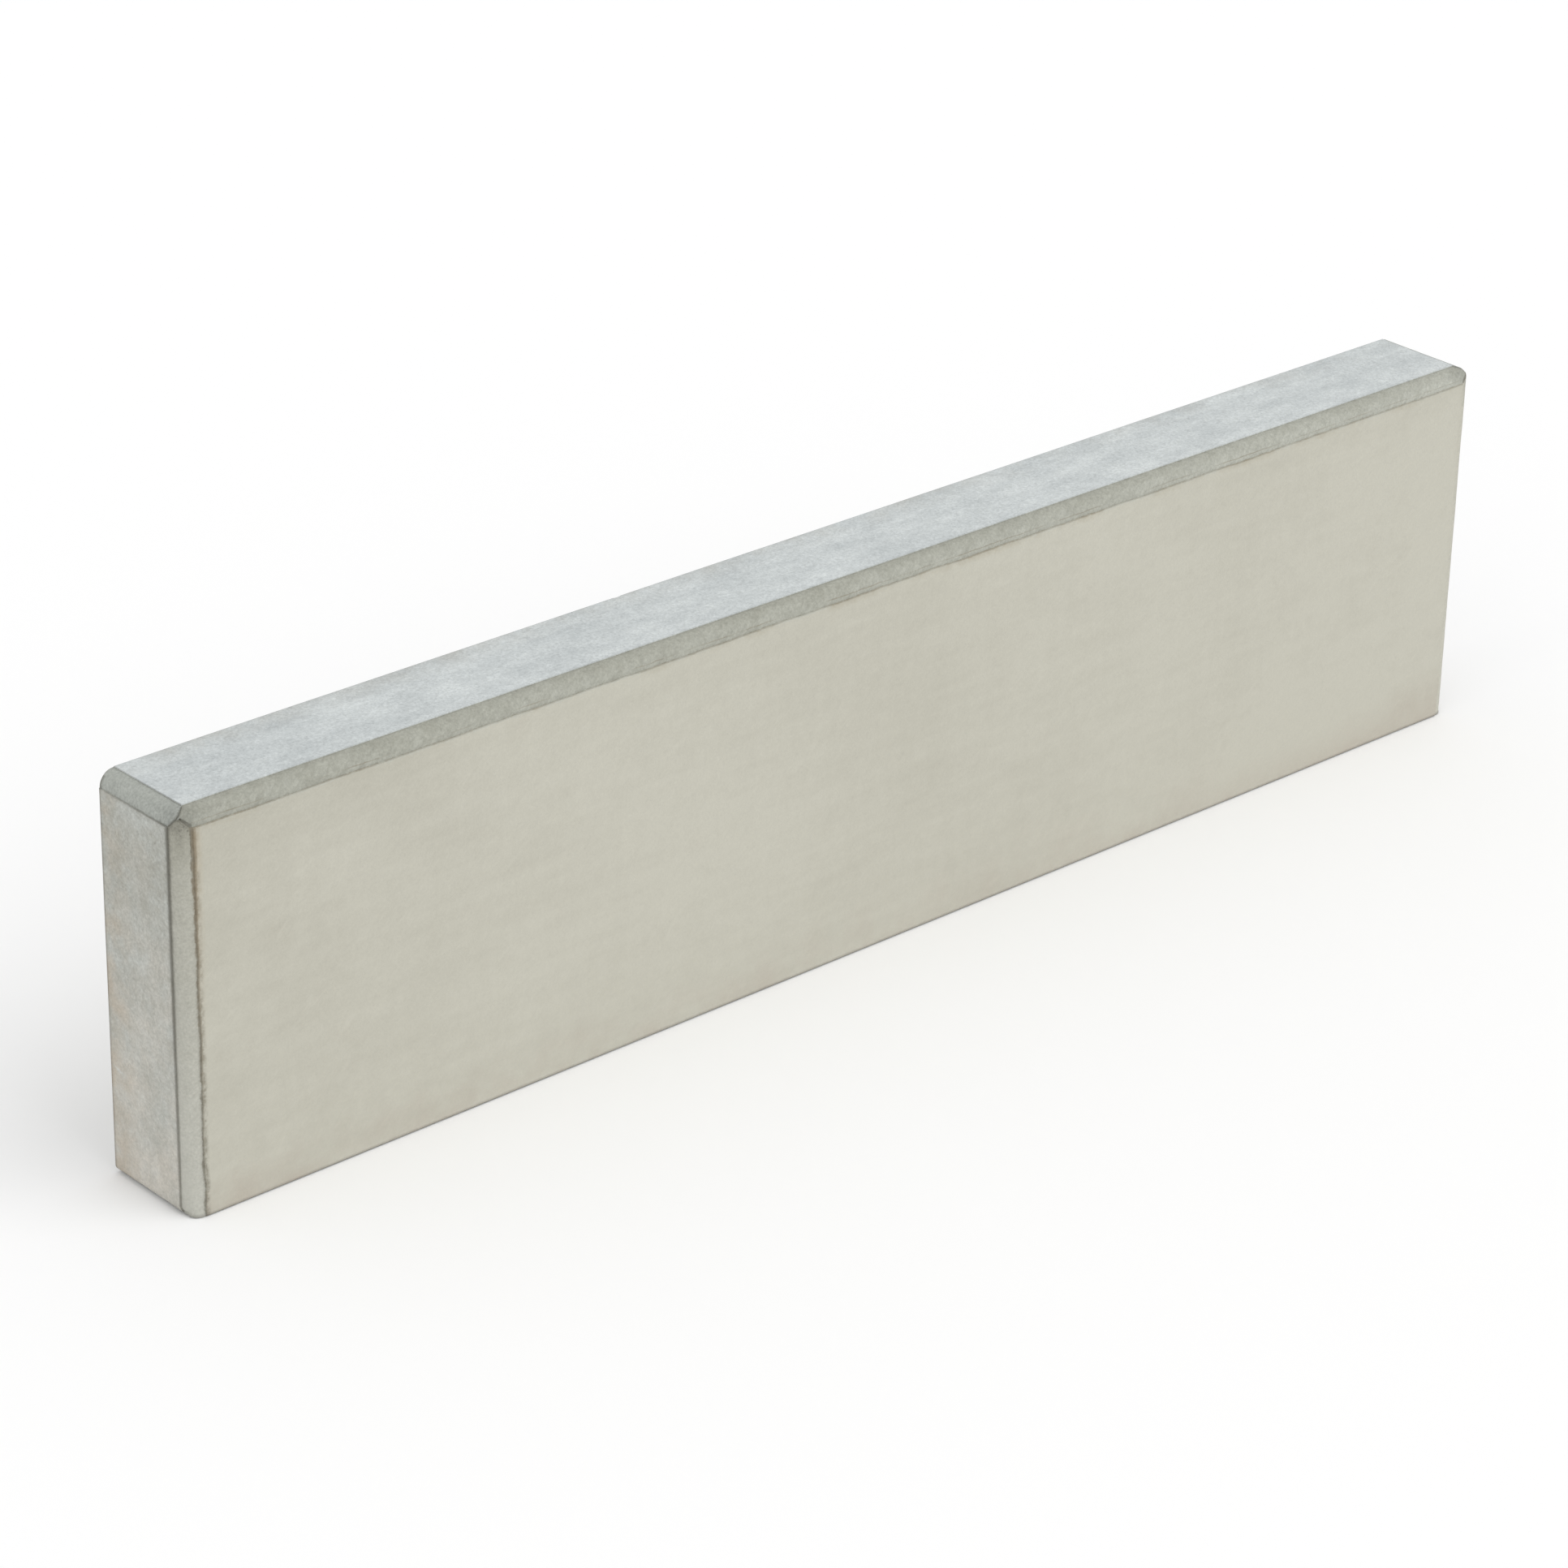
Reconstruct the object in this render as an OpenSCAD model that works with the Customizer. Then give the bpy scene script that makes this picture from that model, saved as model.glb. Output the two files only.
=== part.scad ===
// Concrete kerb stone: one cast block standing on its long narrow side.
// The front face lies towards -Y, the length runs along X and the foot is at z = 0.
// The front top edge, the upper end edges and the upright front edges carry a moulded round
// that stops in a small step at each face. The back edges are left square.

/* [Kerb] */
// Length of the kerb
kerb_length = 1000; // [300:10:1200]
// Height of the kerb as it stands
kerb_height = 240; // [120:5:400]
// Thickness from the front face to the back face
kerb_thickness = 70; // [45:5:200]

/* [Moulded edges] */
// Width of a moulded edge on each of the two faces that it joins
edge_width = 10; // [5:0.5:20]
// Step between a face and the round of its moulded edge
edge_step = 0.8; // [0.2:0.1:2]

/* [Foot] */
// Radius of the lower edge at each end
foot_radius = 6; // [1:0.5:15]

/* [Hidden] */
$fn = 96;
overrun = 2;
end_x = kerb_length / 2;
front_y = -kerb_thickness / 2;
back_y = kerb_thickness / 2;
concrete_colour = [0.74, 0.73, 0.69];

// Waste along one edge: a square bar less the round that stays, with the edge on the Z axis
// and the stone on the +X and +Y sides of it.
module edge_waste(length, width, step) {
    translate([0, 0, -overrun])
        linear_extrude(length + 2 * overrun)
            difference() {
                translate([-overrun, -overrun])
                    square(width + overrun);
                translate([width, width])
                    circle(width - step);
            }
}

// Waste of the left end: upper edge, upright front edge and lower edge.
module end_waste() {
    translate([-end_x, front_y, kerb_height])
        rotate([-90, 0, 0])
            edge_waste(kerb_thickness, edge_width, edge_step);
    translate([-end_x, front_y, 0])
        edge_waste(kerb_height, edge_width, edge_step);
    translate([-end_x, back_y, 0])
        rotate([90, 0, 0])
            edge_waste(kerb_thickness, foot_radius, 0);
}

module kerb_stone() {
    color(concrete_colour)
        difference() {
            translate([-end_x, front_y, 0])
                cube([kerb_length, kerb_thickness, kerb_height]);
            translate([-end_x, front_y, kerb_height])
                rotate([0, 90, 0])
                    edge_waste(kerb_length, edge_width, edge_step);
            end_waste();
            mirror([1, 0, 0])
                end_waste();
        }
}

kerb_stone();
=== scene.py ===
import math

import bpy
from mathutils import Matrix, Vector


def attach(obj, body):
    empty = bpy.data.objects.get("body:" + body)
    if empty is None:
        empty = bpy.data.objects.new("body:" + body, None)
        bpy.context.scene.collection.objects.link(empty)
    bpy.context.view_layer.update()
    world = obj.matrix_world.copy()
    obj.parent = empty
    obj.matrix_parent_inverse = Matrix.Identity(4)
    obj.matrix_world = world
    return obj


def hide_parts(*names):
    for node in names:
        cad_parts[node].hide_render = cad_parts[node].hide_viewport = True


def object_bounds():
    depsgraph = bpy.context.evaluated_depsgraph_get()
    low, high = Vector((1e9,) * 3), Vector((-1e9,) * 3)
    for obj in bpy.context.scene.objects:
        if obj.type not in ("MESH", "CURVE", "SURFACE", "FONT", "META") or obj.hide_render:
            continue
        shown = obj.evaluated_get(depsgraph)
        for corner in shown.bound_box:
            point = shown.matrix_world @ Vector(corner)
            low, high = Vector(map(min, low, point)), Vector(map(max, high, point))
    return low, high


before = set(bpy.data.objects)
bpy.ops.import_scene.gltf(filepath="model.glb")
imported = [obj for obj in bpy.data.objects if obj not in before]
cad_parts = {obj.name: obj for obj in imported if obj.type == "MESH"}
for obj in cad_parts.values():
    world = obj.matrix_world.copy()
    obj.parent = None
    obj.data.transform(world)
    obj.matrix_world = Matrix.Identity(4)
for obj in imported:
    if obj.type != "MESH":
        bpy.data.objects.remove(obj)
cadLow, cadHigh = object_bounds()
print("frame loaded")

tiny = 0.00001  # keeps a divisor away from zero
mmPerMetre = 1000.0


class Wire:  # one value in a node tree; arithmetic on it adds Math nodes
    def __init__(self, sheet, socket):
        self.sheet = sheet
        self.socket = socket

    def math(self, operation, *others, clamped=False):
        settings = {"operation": operation, "use_clamp": clamped}
        return self.sheet.node("ShaderNodeMath", settings, [self, *others])

    def __add__(self, other):
        return self.math("ADD", other)

    def __sub__(self, other):
        return self.math("SUBTRACT", other)

    def __rsub__(self, other):
        return self.sheet.node("ShaderNodeMath", {"operation": "SUBTRACT"}, [other, self])

    def __mul__(self, other):
        return self.math("MULTIPLY", other)

    def __truediv__(self, other):
        return self.math("DIVIDE", other)

    def __rtruediv__(self, other):
        return self.sheet.node("ShaderNodeMath", {"operation": "DIVIDE"}, [other, self])

    def __abs__(self):
        return self.math("ABSOLUTE")

    __radd__ = __add__
    __rmul__ = __mul__

    def least(self, other):
        return self.math("MINIMUM", other)

    def most(self, other):
        return self.math("MAXIMUM", other)

    def held(self):  # kept between 0 and 1
        return self.math("ADD", 0.0, clamped=True)

    def fade(self, reach):  # 1 at zero, down to 0 at the reach
        return (1.0 - self / reach).held()

    def out(self, name):
        return Wire(self.sheet, self.socket.node.outputs[name])


class Sheet:  # puts nodes into one tree
    def __init__(self, tree):
        self.tree = tree

    def node(self, kind, settings=None, inputs=(), output=0):
        made = self.tree.nodes.new(kind)
        for name, value in (settings or {}).items():
            setattr(made, name, value)
        pairs = inputs.items() if isinstance(inputs, dict) else enumerate(inputs)
        for key, value in pairs:
            if isinstance(value, Wire):
                self.tree.links.new(value.socket, made.inputs[key])
            else:
                made.inputs[key].default_value = value
        return Wire(self, made.outputs[output]) if made.outputs else None

    def split(self, vector):
        first = self.node("ShaderNodeSeparateXYZ", None, [vector])
        return first, first.out("Y"), first.out("Z")

    def join(self, x, y, z):
        return self.node("ShaderNodeCombineXYZ", None, [x, y, z])

    def scale(self, vector, factor):
        return self.node("ShaderNodeVectorMath", {"operation": "SCALE"}, {0: vector, "Scale": factor})

    def noise(self, place, size, detail=2.0, rough=0.5, seed=0.0):
        settings = {"noise_dimensions": "4D"}
        return self.node("ShaderNodeTexNoise", settings, {
            "Vector": place, "W": seed, "Scale": 1.0 / size, "Detail": detail, "Roughness": rough})

    def blend(self, share, first, second):  # mixes two colours
        settings = {"data_type": "RGBA"}
        return self.node("ShaderNodeMix", settings, {0: share, 6: first, 7: second}, output=2)


def middleOf(a, b, c):  # the middle one of three values
    return a + b + c - a.least(b).least(c) - a.most(b).most(c)


def withinEdge(edge, depths):  # how far each depth falls short of the edge's width
    return [(edge - depth).most(0.0) for depth in depths]


def mitreGaps(inEnd, inFront, inTop):  # distances from the two lines where the rounds meet at a corner
    a, b = inEnd.most(tiny), inTop.most(tiny)
    soft = a * b / (a * a + b * b).math("SQRT")  # a minimum of the two with a rounded corner
    endLine = abs(inFront - soft)
    offFront = (inEnd.most(inTop) - inFront).most(0.0)  # keeps the other line to the front side
    return endLine, abs(inEnd - inTop) + offFront * 4.0


# The cast block, in metres. The box sizes come from the frame, the edge sizes repeat the CAD source's.
kerb = {
    "Length": cadHigh.x - cadLow.x,
    "Thickness": cadHigh.y - cadLow.y,
    "Height": cadHigh.z - cadLow.z,
    "Edge width": 0.010,
    "Edge step": 0.0008,
    "Foot radius": 0.006,
    "Arris radius": 0.0012,
    "Tip softness": 0.8,
    "Lip reach": 0.007,
    "Lip fade": 0.004,
    "Upright lip size": 0.016,
    "Upright lip wander": 0.0039,
    "Front lip size": 0.024,
    "Front lip wander": 0.0026,
    "Lump size": 0.013,
    "Lump depth": 0.0005,
    "Sag size": 0.11,
    "Sag depth": 0.0003,
    "Plain foot": 0.002,
    "Chip size": 0.011,
    "Chip depth": 0.0008,
    "Chip reach": 0.0045,
    "Chip threshold": 0.67,
    "Chip sharpness": 7.0,
    "Mitre width": 0.0014,
    "Mitre fade": 0.001,
    "Mitre depth": 0.0007,
    "Fold angle": math.radians(38.0),
    "Seed": 4.0,
}
stepHalf = 0.00015  # half the width of the cell row that forms a step
lipWidth = 0.0024  # fine rows on the face side of a step
arrisCells, roundCells, stepCells, lipCells, footCells = 3, 8, 1, 2, 6  # rows across each edge zone
lengthCells, thicknessCells, heightCells = 296, 12, 68  # rows between the edge zones


def spreadRows(count, rows):  # turns a row number into a place along one axis
    start, place = 0, 0.0
    for cells, length in rows:
        place = place + ((count - start) / cells).held() * length
        start += cells
    return place


def rowTotal(rows):
    return sum(cells for cells, _ in rows)


def kerbTree():
    tree = bpy.data.node_groups.new("kerbCast", "GeometryNodeTree")
    sheet = Sheet(tree)
    identifiers = {}
    for name, value in kerb.items():
        made = tree.interface.new_socket(name=name, in_out="INPUT", socket_type="NodeSocketFloat")
        made.default_value = value
        identifiers[name] = made.identifier
    made = tree.interface.new_socket(name="Concrete", in_out="INPUT", socket_type="NodeSocketMaterial")
    identifiers["Concrete"] = made.identifier
    tree.interface.new_socket(name="Geometry", in_out="OUTPUT", socket_type="NodeSocketGeometry")
    given = sheet.node("NodeGroupInput")
    size = {name: given.out(name) for name in [*kerb, "Concrete"]}

    edge, arris, foot = size["Edge width"], size["Arris radius"], size["Foot radius"]
    roundRadius = edge - size["Edge step"]
    moulded = [(arrisCells, arris), (roundCells, edge - arris - stepHalf), (stepCells, 2 * stepHalf),
               (lipCells, lipWidth)]
    mouldedWidth = edge + stepHalf + lipWidth
    plainX = size["Length"] - 2 * mouldedWidth
    plainY = size["Thickness"] - mouldedWidth - arris
    plainZ = size["Height"] - mouldedWidth - arris - foot
    rowsX = [*moulded, (lengthCells, plainX), *reversed(moulded)]
    rowsY = [*moulded, (thicknessCells, plainY), (arrisCells, arris)]
    rowsZ = [(arrisCells, arris), (footCells, foot), (heightCells, plainZ), *reversed(moulded)]
    totals = [rowTotal(rows) for rows in (rowsX, rowsY, rowsZ)]
    block = sheet.node("GeometryNodeMeshCube", None, {
        "Size": (1.0, 1.0, 1.0), "Vertices X": totals[0] + 1, "Vertices Y": totals[1] + 1,
        "Vertices Z": totals[2] + 1})

    # Box place of each point, and its depth behind each face
    unit = sheet.split(sheet.node("GeometryNodeInputPosition"))
    counts = [(value + 0.5) * total for value, total in zip(unit, totals)]
    x = spreadRows(counts[0], rowsX) - size["Length"] * 0.5
    y = spreadRows(counts[1], rowsY) - size["Thickness"] * 0.5
    z = spreadRows(counts[2], rowsZ)
    sideX = x.math("SIGN")
    fromEnd = size["Length"] * 0.5 - abs(x)
    fromFront = y + size["Thickness"] * 0.5
    fromTop = size["Height"] - z

    # Moulded rounds: points near two of end, front and top move in to a quarter round
    inEnd, inFront, inTop = withinEdge(edge, (fromEnd, fromFront, fromTop))
    reach = ((inFront * inFront + inTop * inTop).most(inEnd * inEnd + inTop * inTop)
             .most(inEnd * inEnd + inFront * inFront)).math("SQRT")
    ball = (inEnd * inEnd + inFront * inFront + inTop * inTop).math("SQRT")
    tip = inEnd.least(inFront).least(inTop) / edge  # 1 where three edges meet
    reach = reach + (ball - reach) * tip * tip * size["Tip softness"]
    second = middleOf(inEnd, inFront, inTop)
    share = inEnd.most(inFront).most(inTop) / edge  # under 1 only on the back and the foot
    pull = second.math("GREATER_THAN", stepHalf * 0.5) * (1.0 - roundRadius * share / reach.most(tiny))
    castX = fromEnd + inEnd * pull
    castY = fromFront + inFront * pull
    castZ = fromTop + inTop * pull

    # Ragged lips: the inner line of the upright rounds and the lower line of the front round
    seed, lipReach, lipFade = size["Seed"], size["Lip reach"], size["Lip fade"]
    nearFront = fromFront.fade(lipFade)
    upNoise = sheet.noise(sheet.join(sideX, 0.0, z), size["Upright lip size"], 4.0, 0.6, seed) - 0.5
    upShare = abs(fromEnd - edge).fade(lipReach) * nearFront * ((fromTop - edge) / lipFade).held()
    castX = castX + upNoise * upShare * size["Upright lip wander"]
    topNoise = sheet.noise(sheet.join(x, 0.0, 0.0), size["Front lip size"], 4.0, 0.6, seed + 3.0) - 0.5
    topShare = abs(fromTop - edge).fade(lipReach) * nearFront * ((fromEnd - edge) / lipFade).held()
    castZ = castZ + topNoise * topShare * size["Front lip wander"]

    # Foot rounds at the ends, then a small arris on every other edge
    up = size["Height"] - castZ
    footX, footZ = (foot - castX).most(0.0), (foot - up).most(0.0)
    bothFoot = (footX * footZ).math("GREATER_THAN", 0.0)
    footReach = (footX * footX + footZ * footZ).math("SQRT").most(tiny)
    footPull = bothFoot * (1.0 - footX.most(footZ) / footReach)
    castX = castX + footX * footPull
    up = up + footZ * footPull
    castZ = size["Height"] - up
    backY = size["Thickness"] - castY
    isBack = backY.math("LESS_THAN", castY)
    isLow = up.math("LESS_THAN", castZ)
    edgeX = (arris - castX).most(0.0)
    edgeY = (arris - castY.least(backY)).most(0.0)
    edgeZ = (arris - castZ.least(up)).most(0.0)
    atEdge = middleOf(edgeX, edgeY, edgeZ).math("GREATER_THAN", 0.0)
    edgeReach = (edgeX * edgeX + edgeY * edgeY + edgeZ * edgeZ).math("SQRT").most(tiny)
    edgePull = atEdge * (1.0 - arris / edgeReach).most(0.0)
    castX = castX + edgeX * edgePull
    castY = castY + edgeY * edgePull * (1.0 - 2.0 * isBack)
    castZ = castZ + edgeZ * edgePull * (1.0 - 2.0 * isLow)
    cast = sheet.join(
        sideX * (size["Length"] * 0.5 - castX), castY - size["Thickness"] * 0.5, size["Height"] - castZ)

    marked = sheet.node("GeometryNodeStoreNamedAttribute", {"data_type": "FLOAT_VECTOR"}, {
        "Geometry": block, "Name": "boxPlace", "Value": sheet.join(x, y, z)})
    shaped = sheet.node("GeometryNodeSetPosition", None, {"Geometry": marked, "Position": cast})

    # Relief, always inwards: slight sag of the faces, lumps on the rounds, chipped arrises, mitre grooves
    box = sheet.node("GeometryNodeInputNamedAttribute", {"data_type": "FLOAT_VECTOR"}, {"Name": "boxPlace"})
    boxX, boxY, boxZ = sheet.split(box)
    boxEnd = size["Length"] * 0.5 - abs(boxX)
    boxFront = boxY + size["Thickness"] * 0.5
    boxTop = size["Height"] - boxZ
    boxIn = withinEdge(edge, (boxEnd, boxFront, boxTop))
    onRound = (middleOf(*boxIn) / stepHalf).held()
    onFace = 1.0 - onRound
    endGap, frontGap = mitreGaps(*boxIn)
    onCorner = (boxIn[0].least(boxIn[1]).least(boxIn[2]) / size["Mitre fade"]).held()
    mitre = endGap.least(frontGap).fade(size["Mitre width"]) * onCorner
    fromArris = middleOf(boxEnd, boxFront.least(size["Thickness"] - boxFront), boxTop.least(boxZ))
    lump = sheet.noise(box, size["Lump size"], 2.0, 0.55, seed + 7.0)
    sag = sheet.noise(box, size["Sag size"], 1.0, 0.5, seed + 11.0)
    chipNoise = sheet.noise(box, size["Chip size"], 3.0, 0.6, seed + 17.0)
    chip = ((chipNoise - size["Chip threshold"]) * size["Chip sharpness"]).held()
    chip = chip * fromArris.fade(size["Chip reach"]) * onFace
    offFoot = (boxZ / size["Plain foot"]).held()
    depth = (lump * onRound * size["Lump depth"] + sag * onFace * size["Sag depth"]) * offFoot
    depth = depth + chip * size["Chip depth"] + mitre * size["Mitre depth"]
    inward = sheet.scale(sheet.node("GeometryNodeInputNormal"), 0.0 - depth)
    worn = sheet.node("GeometryNodeSetPosition", None, {"Geometry": shaped, "Offset": inward})

    smooth = sheet.node("GeometryNodeSetShadeSmooth", {"domain": "FACE"}, {
        "Geometry": worn, "Shade Smooth": True})
    fold = sheet.node("GeometryNodeInputMeshEdgeAngle").math("GREATER_THAN", size["Fold angle"])
    creased = sheet.node("GeometryNodeSetShadeSmooth", {"domain": "EDGE"}, {
        "Geometry": smooth, "Selection": fold, "Shade Smooth": False})
    real = sheet.node("GeometryNodeRealizeInstances", None, {"Geometry": creased})
    dressed = sheet.node("GeometryNodeSetMaterial", None, {"Geometry": real, "Material": size["Concrete"]})
    sheet.node("NodeGroupOutput", None, {"Geometry": dressed})
    return tree, identifiers


# The concrete: linear colours of its faces, dirt and painted shade, reaches of the dirt and painted shade
# in millimetres, and its finish
concrete = {
    "front": (0.522, 0.510, 0.439, 1.0),
    "frontDull": (0.462, 0.449, 0.382, 1.0),
    "frontStain": (0.440, 0.385, 0.325, 1.0),
    "topGrey": (0.430, 0.460, 0.465, 1.0),
    "topBloom": (0.620, 0.652, 0.648, 1.0),
    "topBrown": (0.400, 0.390, 0.350, 1.0),
    "endGrey": (0.370, 0.368, 0.326, 1.0),
    "endBlue": (0.530, 0.553, 0.530, 1.0),
    "endPink": (0.568, 0.545, 0.492, 1.0),
    "endTan": (0.450, 0.395, 0.318, 1.0),
    "backGrey": (0.400, 0.396, 0.350, 1.0),
    "backPale": (0.550, 0.545, 0.500, 1.0),
    "uprightDull": (0.350, 0.343, 0.288, 1.0),
    "uprightPale": (0.490, 0.488, 0.438, 1.0),
    "endRoundDull": (0.310, 0.322, 0.290, 1.0),
    "endRoundPale": (0.445, 0.465, 0.432, 1.0),
    "frontRoundDull": (0.297, 0.297, 0.250, 1.0),
    "frontRoundPale": (0.468, 0.476, 0.424, 1.0),
    # dark colour of the seam lines, also used for the painted shadow on the foot line and the painted shade
    # at the back arrises
    "seamAndShadow": (0.105, 0.100, 0.080, 1.0),
    "seamBrown": (0.200, 0.162, 0.108, 1.0),
    "seamOlive": (0.165, 0.150, 0.112, 1.0),
    "halo": (0.440, 0.365, 0.250, 1.0),
    "underLine": (0.385, 0.345, 0.255, 1.0),
    "frontTopReach": 45.0,
    "stainHeight": 34.0,
    "topBrownReach": 20.0,
    "endTanReach": 26.0,
    "scuffHeight": 66.0,
    "scuffFromBack": 8.0,
    "scuffLength": 7.0,
    "scuffWidth": 1.4,
    "uprightTopReach": 38.0,
    "tipReach": 42.0,
    "frontwardReach": 60.0,
    "leftwardReach": 160.0,
    "seamTopReach": 48.0,
    "seamStart": 0.8,
    "haloReach": 6.0,
    "underReach": 3.2,
    "bleedReach": 1.6,
    # the next two: reaches of the painted shadow on the foot line and of the painted shade at the back
    # arrises
    "footShadowReach": 2.2,
    "rimShadeReach": 1.6,
    "roughness": 0.86,
    "specular": 0.3,
    "bumpStrength": 0.4,
    "bumpDepth": 0.0006,
}
sharp = 8.0  # the edge of a mask is one eighth of a millimetre wide

# Noise of the cast surface: size in metres, detail, roughness, seed, and factors that draw it out
castNoise = {
    "broad": (0.13, 2.0, 0.5, 1.0, None),
    "cloud": (0.026, 4.0, 0.6, 2.0, (0.55, 1.0, 0.8)),
    "bloom": (0.011, 4.0, 0.65, 14.0, (0.4, 1.0, 1.0)),
    "mottle": (0.0085, 4.0, 0.68, 3.0, None),
    "patch": (0.021, 3.0, 0.6, 9.0, None),
    "grain": (0.0019, 3.0, 0.65, 4.0, None),
    "sand": (0.0013, 2.0, 0.6, 5.0, None),
    "ragged": (0.005, 4.0, 0.68, 6.0, None),
    "crumb": (0.0034, 4.0, 0.72, 12.0, None),
    "longRag": (0.040, 3.0, 0.6, 7.0, None),
    "smear": (0.009, 4.0, 0.62, 8.0, (0.12, 1.0, 1.0)),
    "wipe": (0.012, 3.0, 0.6, 10.0, (1.0, 1.0, 0.14)),
    "fibre": (0.0017, 3.0, 0.7, 11.0, (0.22, 1.0, 1.0)),
    "scratch": (0.012, 1.0, 0.5, 13.0, (0.03, 0.5, 0.5)),
}
slanted = {"fibre", "scratch"}  # these run aslant to the axes
slantTurn = (0.7, 0.6, 0.3)


class Spot:  # where a point lies on the box, in millimetres, and on which face or round
    def __init__(self, sheet):
        box = sheet.node("ShaderNodeAttribute", {"attribute_name": "boxPlace"}, (), "Vector")
        x, y, self.z = [value * mmPerMetre for value in sheet.split(box)]
        length, thickness, height, edge = [
            mmPerMetre * kerb[name] for name in ("Length", "Thickness", "Height", "Edge width")]
        self.fromEnd = length / 2 - abs(x)
        self.fromFront = y + thickness / 2
        self.fromBack = thickness / 2 - y
        self.fromTop = height - self.z
        self.along = x / length  # -0.5 at the left end to 0.5 at the right end
        self.rise = self.z / height  # 0 at the foot to 1 at the top
        self.upper = (self.rise * 1.3 - 0.15).held()  # the same, level near the foot and the top
        self.frontward = self.fromFront.fade(concrete["frontwardReach"])
        self.topward = self.fromTop.fade(concrete["seamTopReach"])
        self.isRight = (x * 0.1).held()
        self.isLeft = 1.0 - self.isRight

        depths = (self.fromEnd, self.fromFront, self.fromTop)
        self.pastEnd, self.pastFront, self.pastTop = [depth - edge for depth in depths]
        inEnd, inFront, inTop = withinEdge(edge, depths)
        self.inEnd, self.inFront, self.inTop = inEnd, inFront, inTop
        self.lowest = inEnd.least(inFront).least(inTop)
        self.onRound = (middleOf(inEnd, inFront, inTop) / (mmPerMetre * stepHalf)).held()
        onFace = 1.0 - self.onRound
        sides = [(1.0 - depth * sharp).held() for depth in depths]
        self.endSide, self.frontSide, self.topSide = sides
        self.isEnd, self.isFront, self.isTop = [side * onFace for side in sides]
        self.isUpright = ((inEnd.least(inFront) - inTop) * sharp).held() * self.onRound
        self.isEndRound = ((inEnd.least(inTop) - inFront) * sharp).held() * self.onRound
        self.acrossTop = (inTop - inFront) / edge  # 1 under the top face to -1 above the front face
        fromTip = self.fromEnd + self.fromFront + self.fromTop
        self.nearTip = fromTip.fade(concrete["tipReach"]) * self.onRound


class Cast:  # the noises of the cast surface, each about zero
    def __init__(self, sheet):
        place = sheet.node("ShaderNodeTexCoord", None, (), "Object")
        turned = sheet.node("ShaderNodeVectorRotate", {"rotation_type": "EULER_XYZ"}, {
            "Vector": place, "Rotation": slantTurn})
        for name, (size, detail, rough, seed, drawn) in castNoise.items():
            vector = turned if name in slanted else place
            if drawn:
                vector = sheet.node("ShaderNodeVectorMath", {"operation": "MULTIPLY"}, [vector, drawn])
            setattr(self, name, sheet.noise(vector, size, detail, rough, seed) - 0.5)
        self.crumbs = (0.55 + self.crumb * 3.2).held()  # speckle along the seams, 0 to 1

    def mix(self, **weights):  # sum of the named noises, each times its weight
        parts = [getattr(self, name) * weight for name, weight in weights.items()]
        return sum(parts[1:], parts[0])


def between(sheet, share, first, second):
    return sheet.blend(share.held(), concrete[first], concrete[second])


def frontColour(sheet, spot, cast):  # smooth, a little duller to the left, stained low down
    along = spot.along
    dull = 0.22 - along * 0.42 + cast.mix(broad=1.4, smear=1.1, wipe=0.5, mottle=0.85)
    dull = dull + spot.fromTop.fade(concrete["frontTopReach"]) * (along * along * 2.4 - along * 0.25)
    dull = dull - (along + 0.28).least(0.0) * (0.6 + 2.2 * spot.rise) + cast.patch * along * along * 4.0
    hair = abs(cast.scratch).fade(0.012) * (cast.patch * 5.0 - 0.1).held()  # fine pale scratches
    colour = between(sheet, dull - hair * 0.5, "front", "frontDull")
    low = spot.z.fade(concrete["stainHeight"] + 60.0 * cast.broad)
    low = low * (0.32 + along * along * 2.0 + cast.patch * 1.6)
    spots = (cast.patch - 0.12) * 1.2 * (0.4 - along).held()
    colour = sheet.blend((low + spots).held() * 0.5, colour, concrete["frontStain"])
    bleed = spot.pastTop.fade((concrete["bleedReach"] + cast.mix(ragged=7.0, longRag=3.0)).most(0.3))
    return sheet.blend(bleed * 0.8, colour, concrete["frontRoundPale"])


def topColour(sheet, spot, cast):  # grey with pale bloom, browner along the back edge
    pale = 0.615 + cast.mix(cloud=1.0, bloom=1.5, mottle=0.4, broad=0.3) + spot.along * 0.1
    colour = between(sheet, pale, "topGrey", "topBloom")
    brown = spot.fromBack.fade(concrete["topBrownReach"])
    brown = brown * (0.35 + cast.patch * 3.0 - spot.along * 0.5).held()
    return sheet.blend(brown * 0.6, colour, concrete["topBrown"])


def endColour(sheet, spot, cast):  # grey, paler low down, tan towards the back edge
    pale = 0.77 + cast.mix(cloud=1.4, mottle=1.2, fibre=0.9) - spot.rise * 0.60
    tint = between(sheet, 0.46 + cast.patch * 2.0 - (spot.rise - 0.5) * 0.8, "endBlue", "endPink")
    colour = sheet.blend(pale.held(), concrete["endGrey"], tint)
    nearBack = spot.fromBack.fade(concrete["endTanReach"])
    tan = (0.4 + cast.patch * 3.0 + (0.3 - spot.rise) * 0.5).held() * (0.2 + nearBack * 1.4)
    colour = sheet.blend(tan.held() * 0.7, colour, concrete["endTan"])
    across = spot.fromBack - concrete["scuffFromBack"]  # one pale scuff, low on the left end
    scuffLine = spot.z - concrete["scuffHeight"] + across * 0.25 + cast.ragged * 4.0
    scuff = abs(scuffLine).fade(concrete["scuffWidth"]) * abs(across).fade(concrete["scuffLength"])
    return sheet.blend(scuff * spot.isLeft * 0.6, colour, concrete["topBloom"])


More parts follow.
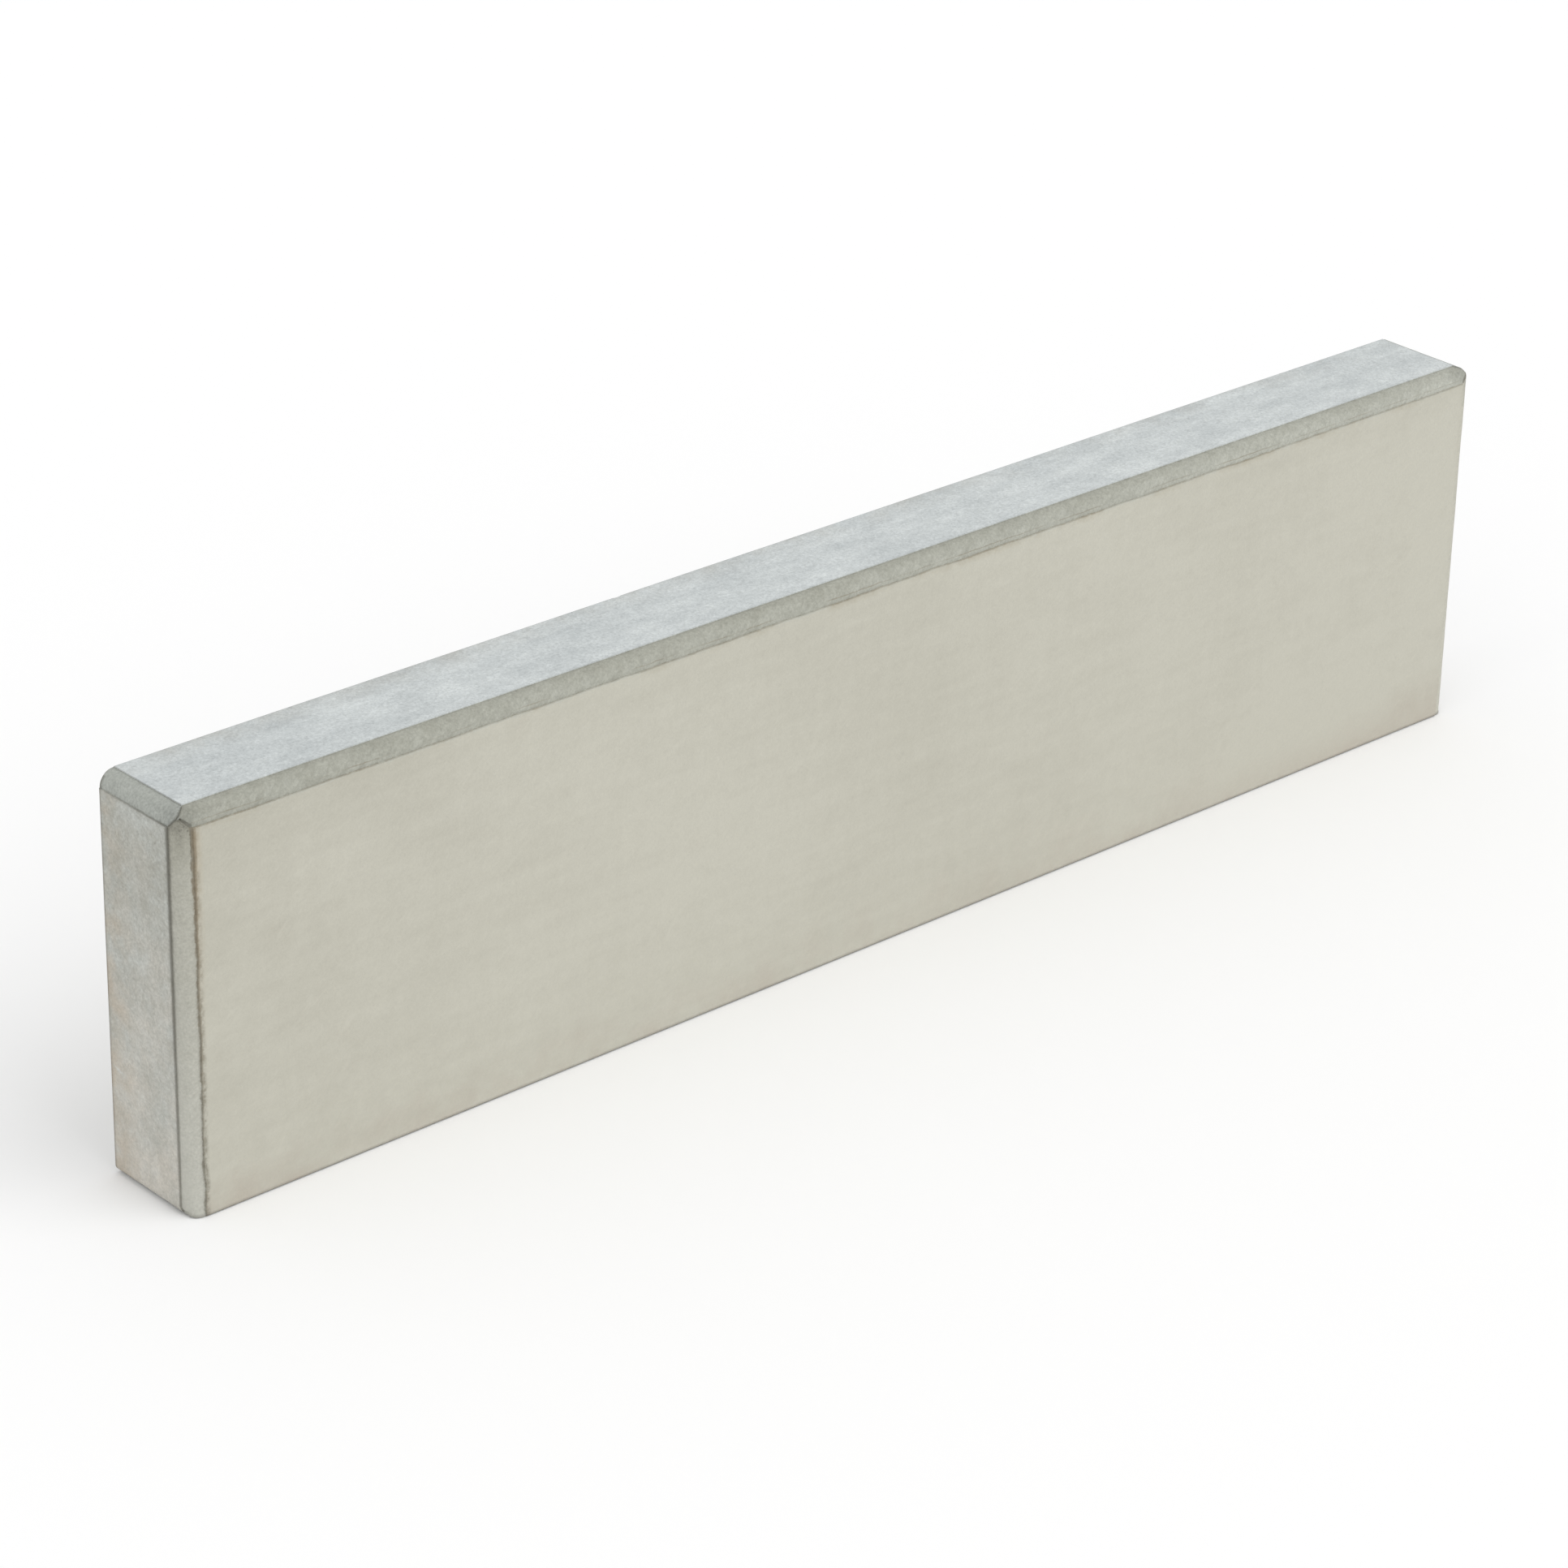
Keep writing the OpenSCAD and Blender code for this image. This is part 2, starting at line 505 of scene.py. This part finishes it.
def roundColour(sheet, spot, cast):  # duller than the faces, darkest near the corners
    along = spot.along
    mixed = cast.mix(mottle=0.65, cloud=0.35)
    # painted shade: the front round darker along its upper side; the round also grows lighter towards the
    # right end
    lit = along * along * 0.4 + along * 0.36 - spot.acrossTop * (0.13 + along * 0.16)
    pale = 0.39 + mixed * 1.3 + cast.fibre * 0.5 + lit
    colour = between(sheet, pale, "frontRoundDull", "frontRoundPale")
    high = spot.fromTop.fade(concrete["uprightTopReach"])
    pale = 0.57 + mixed * 0.8 - (spot.rise - 0.5) * 0.72 - high * 0.36
    upright = between(sheet, pale, "uprightDull", "uprightPale")
    upright = sheet.blend(spot.isRight * (1.0 - spot.inEnd * 0.08), upright, concrete["front"])
    endRound = between(sheet, 0.45 + mixed * 0.4 + cast.cloud * 0.5, "endRoundDull", "endRoundPale")
    colour = sheet.blend(spot.isUpright, colour, upright)
    return sheet.blend(spot.isEndRound, colour, endRound)


def restColour(sheet, cast):  # back and foot
    return between(sheet, 0.5 + cast.mix(cloud=1.8, mottle=1.3, broad=0.8), "backGrey", "backPale")


def shadeBeside(spot, cast):  # painted shade: soft darkening beside the seam steps and in the corners
    def near(offset, reach):
        share = abs(offset).fade(reach)
        return share * share

    shade = near(spot.pastFront, 5.0) * spot.endSide * (0.25 + 0.45 * spot.upper)
    shade = shade.most(near(spot.pastTop, 5.0) * spot.endSide * (0.2 + 0.6 * spot.frontward))
    shade = shade.most(near(spot.pastFront, 4.0) * spot.topSide * spot.onRound * 0.2)
    shade = shade.most(near(spot.pastEnd, 4.0) * spot.topSide * spot.onRound * 0.4)
    shade = shade.most(near(spot.pastEnd, 3.0) * spot.frontSide * spot.isLeft * 0.6)
    # painted shade where the three rounds meet at the corner
    corner = spot.nearTip * spot.nearTip * 1.6
    return (shade * (0.75 + cast.patch) + corner).held()


def seamLine(cast, offset, past, width, wander=0.0):  # offset from the line, and distance past the corner
    ragged = abs(offset + cast.ragged * wander).fade(width * (1.0 + 1.6 * cast.ragged))
    return ragged * ((past + concrete["seamStart"]) / concrete["seamStart"]).held()


def darkSeams(spot, cast, faint):  # lines at the steps, mitre lines and pits at the corners
    upright = seamLine(cast, spot.pastFront, spot.pastTop, width=1.2 + 0.9 * spot.upper, wander=0.6)
    dark = upright * spot.endSide * (0.55 + 0.2 * spot.upper)
    endTop = seamLine(cast, spot.pastEnd, spot.pastFront, width=0.6, wander=0.8)
    dark = dark.most(endTop * spot.topSide * (0.15 + spot.frontward * (0.3 + 0.5 * spot.isRight)))
    endLow = seamLine(cast, spot.pastTop, spot.pastFront, width=0.65, wander=0.8)
    dark = dark.most(endLow * spot.endSide * (0.2 + 0.5 * spot.frontward))
    frontTop = seamLine(cast, spot.pastFront, spot.pastEnd, width=0.6)
    dark = dark.most(frontTop * spot.topSide * 0.15 * faint)

    endGap, frontGap = mitreGaps(spot.inEnd, spot.inFront, spot.inTop)
    onCorner = (spot.lowest / 0.4).held()
    atTip = spot.nearTip * spot.nearTip
    # near the tip the mitre line widens into painted shade at the corner
    endMitre = endGap.fade(0.7 + 2.2 * atTip + 1.2 * cast.ragged)
    dark = dark.most(endMitre * onCorner * 0.85)
    frontMitre = (1.8 - frontGap / (1.4 + 2.6 * cast.ragged)).held()
    dark = dark.most(frontMitre * onCorner * (0.35 + 0.5 * cast.crumbs))
    pits = ((spot.nearTip - 0.72) * 2.5 + cast.grain * 7.0).held() * spot.isUpright
    dark = dark.most(pits * spot.isLeft * 0.65)
    beside = seamLine(cast, spot.pastEnd + 1.5, spot.pastTop, width=0.8, wander=3.4)
    beside = beside * spot.frontSide * spot.isLeft * (spot.topward * 2.0).held()
    return dark.most(beside * (0.3 + 0.5 * cast.crumbs))


def brownSeams(spot, cast, faint, leftOnly):  # ragged lines round the front face
    upper, crumbs = spot.upper, cast.crumbs
    width = 0.9 + 0.6 * upper + 1.4 * spot.topward + 2.0 * cast.longRag
    core = seamLine(cast, spot.pastEnd, spot.pastTop, width, wander=3.0)
    solid = 0.2 + 0.35 * upper + (0.55 - 0.15 * upper) * crumbs
    rough = seamLine(cast, spot.pastEnd - 1.0, spot.pastTop, width=2.4 + 0.8 * upper, wander=3.4)
    rough = rough * (crumbs * 1.6 - 0.4).held()
    upright = ((core * 1.7).held() * solid).most(rough * 0.7) * spot.frontSide * leftOnly
    leftward = spot.fromEnd.fade(concrete["leftwardReach"]) * spot.isLeft
    low = seamLine(cast, spot.pastTop, spot.pastEnd, width=0.6 + 0.5 * cast.longRag, wander=1.4)
    low = low * (0.17 + 0.36 * faint + 0.2 * leftward) * (0.5 + 0.7 * crumbs)
    doubled = seamLine(cast, spot.pastTop + 3.0, spot.pastEnd, width=0.55, wander=1.6)
    doubled = doubled * (cast.longRag * 7.0 + 0.45).held() * 0.55
    return upright.most(low.most(doubled) * spot.frontSide)


def addSeams(sheet, spot, cast, colour):  # dirt beside the front face's lines, then the lines themselves
    faint = (0.5 + cast.longRag * 2.4).held()
    leftOnly = 1.0 - spot.isRight * 0.95
    halo = spot.pastEnd.fade(concrete["haloReach"] + 8.0 * cast.longRag)
    halo = halo * (0.7 + cast.ragged * 2.0).held() * leftOnly * spot.upper * spot.upper
    colour = sheet.blend(halo * spot.isFront * 0.65, colour, concrete["halo"])
    underLine = spot.pastTop.fade((concrete["underReach"] + cast.mix(longRag=9.0, ragged=8.0)).most(0.3))
    underLine = underLine * (cast.longRag * 6.0 + 0.25).held() * (0.3 + 0.7 * cast.crumbs)
    colour = sheet.blend(underLine * spot.isFront * 0.7, colour, concrete["underLine"])
    brownTone = sheet.blend(spot.upper, concrete["seamOlive"], concrete["seamBrown"])
    colour = sheet.blend(brownSeams(spot, cast, faint, leftOnly), colour, brownTone)
    return sheet.blend(darkSeams(spot, cast, faint), colour, concrete["seamAndShadow"])


def addFootShadowAndRimShade(sheet, spot, cast, colour):  # painted contact shadow along the foot line, and painted shade beside the square arrises at the back
    # painted contact shadow along the foot line
    foot = spot.z.fade(concrete["footShadowReach"] + 2.2 * cast.ragged) * 0.55
    # painted shade beside the arrises at the back
    rim = spot.fromBack.fade(concrete["rimShadeReach"] + 1.2 * spot.endSide + 1.4 * cast.ragged)
    rim = rim * (spot.fromBack * sharp).held() * (0.3 + 0.45 * spot.endSide)
    return sheet.blend(foot.most(rim), colour, concrete["seamAndShadow"])


def concreteMaterial():
    material = bpy.data.materials.new("castConcrete")
    material.use_nodes = True
    sheet = Sheet(material.node_tree)
    shader = material.node_tree.nodes["Principled BSDF"]
    spot, cast = Spot(sheet), Cast(sheet)
    colour = sheet.blend(spot.isFront, restColour(sheet, cast), frontColour(sheet, spot, cast))
    colour = sheet.blend(spot.isTop, colour, topColour(sheet, spot, cast))
    colour = sheet.blend(spot.isEnd, colour, endColour(sheet, spot, cast))
    colour = sheet.blend(spot.onRound, colour, roundColour(sheet, spot, cast))
    low = 1.0 - spot.rise
    coarse = 1.0 - spot.isFront * (0.66 + 0.12 * low) - spot.endSide * (0.3 * low - 0.08)
    coarse = coarse + spot.isTop * 0.15 - spot.isUpright * 0.3 * low + spot.isEndRound * 0.2
    # grain and sand vary the colour, and the painted shade beside the seams and in the corners darkens it
    vary = 1.0 + cast.mix(grain=0.28, sand=0.50, fibre=0.30) * coarse - shadeBeside(spot, cast) * 0.24
    colour = addSeams(sheet, spot, cast, sheet.scale(colour, vary))
    # painted contact shadow on the foot line and painted shade at the back arrises
    colour = addFootShadowAndRimShade(sheet, spot, cast, colour)

    gloss = concrete["roughness"] - spot.isFront * 0.10 + cast.grain * 0.12
    relief = (cast.grain + cast.sand * 0.6) * (0.3 + 0.7 * coarse)
    relief = relief + cast.mottle * (0.4 * coarse + 0.8 * spot.onRound)
    bump = sheet.node("ShaderNodeBump", None, {
        "Strength": concrete["bumpStrength"], "Distance": concrete["bumpDepth"], "Height": relief})
    shader.inputs["Specular IOR Level"].default_value = concrete["specular"]
    for name, wire in (("Base Color", colour), ("Roughness", gloss), ("Normal", bump)):
        material.node_tree.links.new(wire.socket, shader.inputs[name])
    return material


def castKerb():
    tree, identifiers = kerbTree()
    holder = bpy.data.objects.new("kerbHolder", bpy.data.meshes.new("kerbHolder"))
    bpy.context.scene.collection.objects.link(holder)
    modifier = holder.modifiers.new("cast", "NODES")
    modifier.node_group = tree
    for name, value in kerb.items():
        modifier[identifiers[name]] = value
    modifier[identifiers["Concrete"]] = concreteMaterial()
    graph = bpy.context.evaluated_depsgraph_get()
    mesh = bpy.data.meshes.new_from_object(holder.evaluated_get(graph), depsgraph=graph)
    bpy.data.objects.remove(holder)
    mesh.name = "kerbStone"
    piece = bpy.data.objects.new("kerbStone", mesh)
    bpy.context.scene.collection.objects.link(piece)
    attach(piece, "root")
    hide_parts("kerb_stone")
    print("kerb cast,", sum(len(face.vertices) - 2 for face in mesh.polygons), "triangles")


studio = {
    "floorSize": 60.0,
    "floorHeight": -0.0004,
    "floorTone": (0.95, 0.95, 0.95, 1.0),
    "floorRoughness": 0.9,
    "skyTone": (1.0, 1.0, 1.0, 1.0),
    "skyStrength": 0.8,
    "keyFrom": (1.2, -2.6, 3.2),
    "keyPower": 0.9,
    "fillFrom": (-3.0, -1.0, 1.8),
    "fillPower": 0.3,
    "lampSpread": 55.0,
}


def makeStudio():
    half, level = studio["floorSize"] / 2, studio["floorHeight"]
    mesh = bpy.data.meshes.new("floor")
    corners = [(-half, -half, level), (half, -half, level), (half, half, level), (-half, half, level)]
    mesh.from_pydata(corners, [], [(0, 1, 2, 3)])
    floor = bpy.data.objects.new("floor", mesh)
    bpy.context.scene.collection.objects.link(floor)
    paper = bpy.data.materials.new("paleFloor")
    paper.use_nodes = True
    finish = paper.node_tree.nodes["Principled BSDF"].inputs
    finish["Base Color"].default_value = studio["floorTone"]
    finish["Roughness"].default_value = studio["floorRoughness"]
    mesh.materials.append(paper)

    world = bpy.data.worlds.new("studio")
    world.use_nodes = True
    sky = world.node_tree.nodes["Background"].inputs
    sky["Color"].default_value = studio["skyTone"]
    sky["Strength"].default_value = studio["skyStrength"]
    bpy.context.scene.world = world

    for name in ("key", "fill"):  # wide soft lamps, far off, so that the floor is lit evenly
        lamp = bpy.data.lights.new(name, "SUN")
        lamp.angle = math.radians(studio["lampSpread"])
        lamp.energy = studio[name + "Power"]
        holder = bpy.data.objects.new(name, lamp)
        holder.location = studio[name + "From"]
        holder.rotation_euler = holder.location.to_track_quat("Z", "Y").to_euler()
        bpy.context.scene.collection.objects.link(holder)
    bpy.context.scene.view_settings.view_transform = "Standard"
    print("studio lit")


photoView = {
    "place": (-1.83336, -1.94475, 1.38864),
    "turn": (64.061, -1.126, -41.981),
    "lens": 116.43,
    "sensor": 36.0,
    "clipEnd": 200.0,
}


def makeCamera():
    lens = bpy.data.cameras.new("photoView")
    lens.sensor_width = photoView["sensor"]
    lens.lens = photoView["lens"]
    lens.clip_end = photoView["clipEnd"]
    camera = bpy.data.objects.new("photoView", lens)
    camera.location = photoView["place"]
    camera.rotation_euler = [math.radians(angle) for angle in photoView["turn"]]
    bpy.context.scene.collection.objects.link(camera)
    bpy.context.scene.camera = camera
    print("camera set")


makeCamera()
makeStudio()
castKerb()
